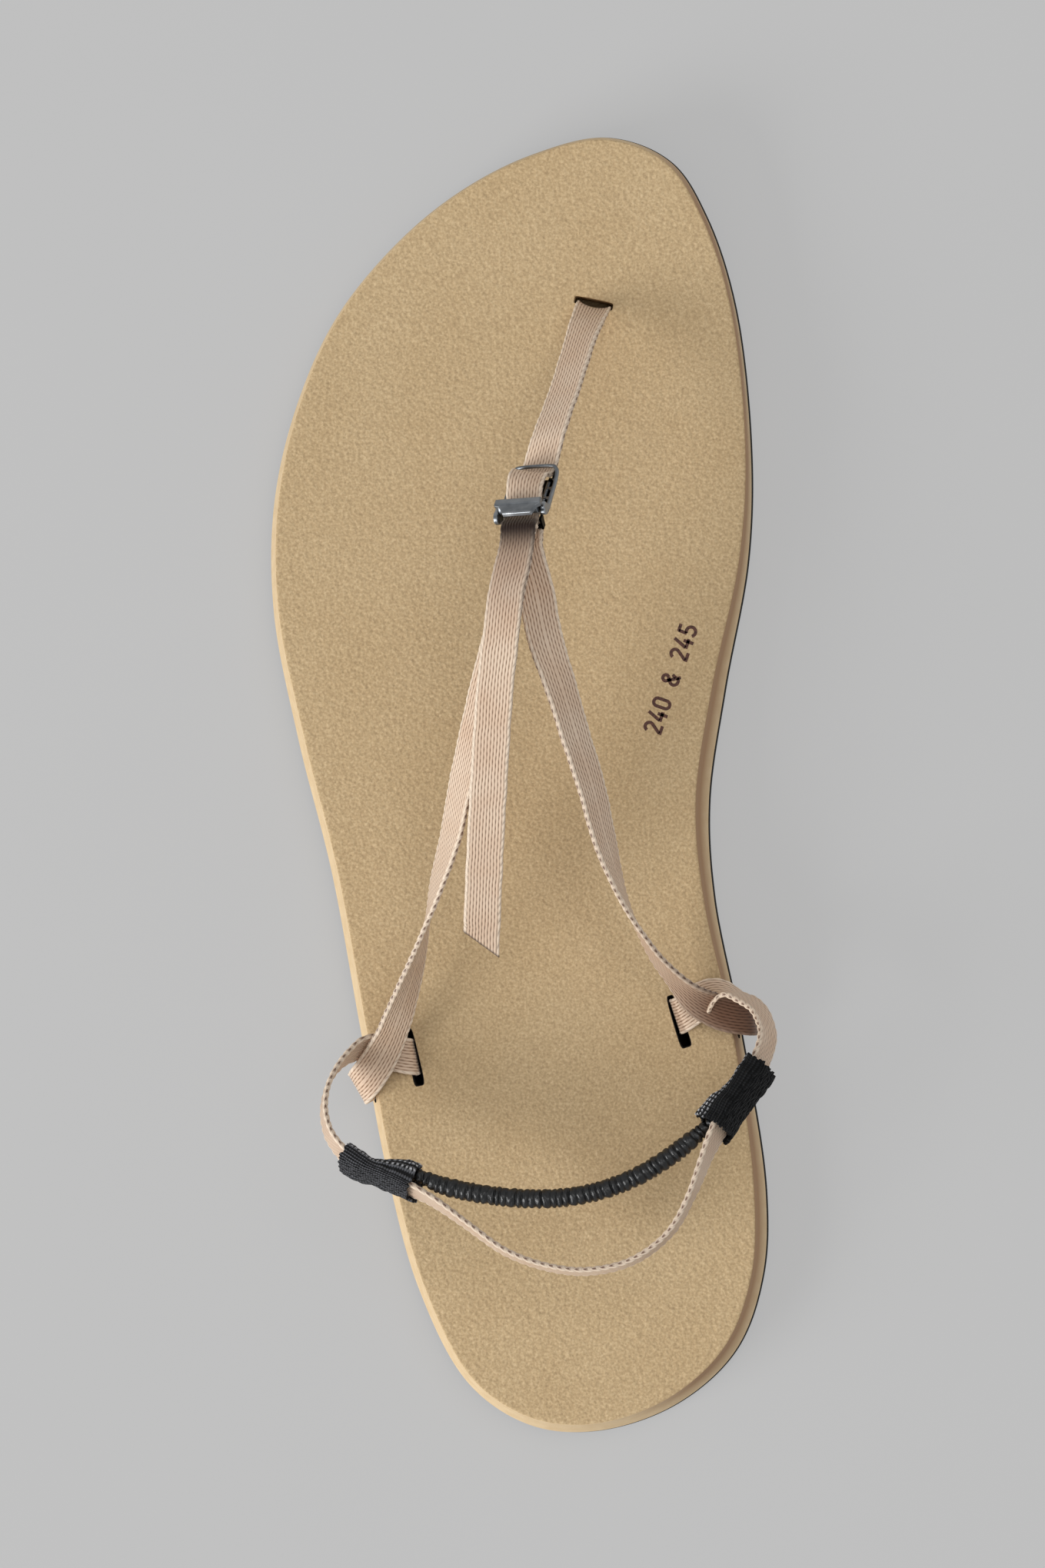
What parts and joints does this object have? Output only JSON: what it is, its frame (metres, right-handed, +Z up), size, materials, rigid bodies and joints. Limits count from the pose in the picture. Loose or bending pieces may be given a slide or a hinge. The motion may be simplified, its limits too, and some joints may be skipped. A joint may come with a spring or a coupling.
{
  "type": "barefoot sandal",
  "caption": "Left barefoot sandal: thin flared sole, a toe tape through a cam-lever buckle, and one tape hitched at both sides of the sole and run round behind the heel.",
  "frame": {"origin": "on the outsole's flat underside, at the middle of the waist", "axes": "+Z up from the floor, +Y towards the toes, +X towards the big toe side"},
  "size_m": [0.1032, 0.263, 0.0569],
  "materials": {
    "footbed_foam": "tan closed-cell foam with a fine moulded grain",
    "outsole_rubber": "matt black moulded rubber",
    "woven_tape": "pinkish beige flat woven tape with braided edges",
    "woven_tab": "black ribbed ribbon, folded and stitched",
    "heel_elastic": "black tube gathered over an elastic cord",
    "buckle_metal": "dark gunmetal with brighter worn edges"
  },
  "bodies": {
    "root": {"midsole": "footbed_foam", "outsole": "outsole_rubber", "toe_tape": "woven_tape", "instep_heel_tape": "woven_tape", "heel_tab_lateral": "woven_tab", "heel_tab_medial": "woven_tab", "heel_elastic": "heel_elastic", "buckle_frame": "buckle_metal", "buckle_lever": "buckle_metal"}
  },
  "joints": []
}
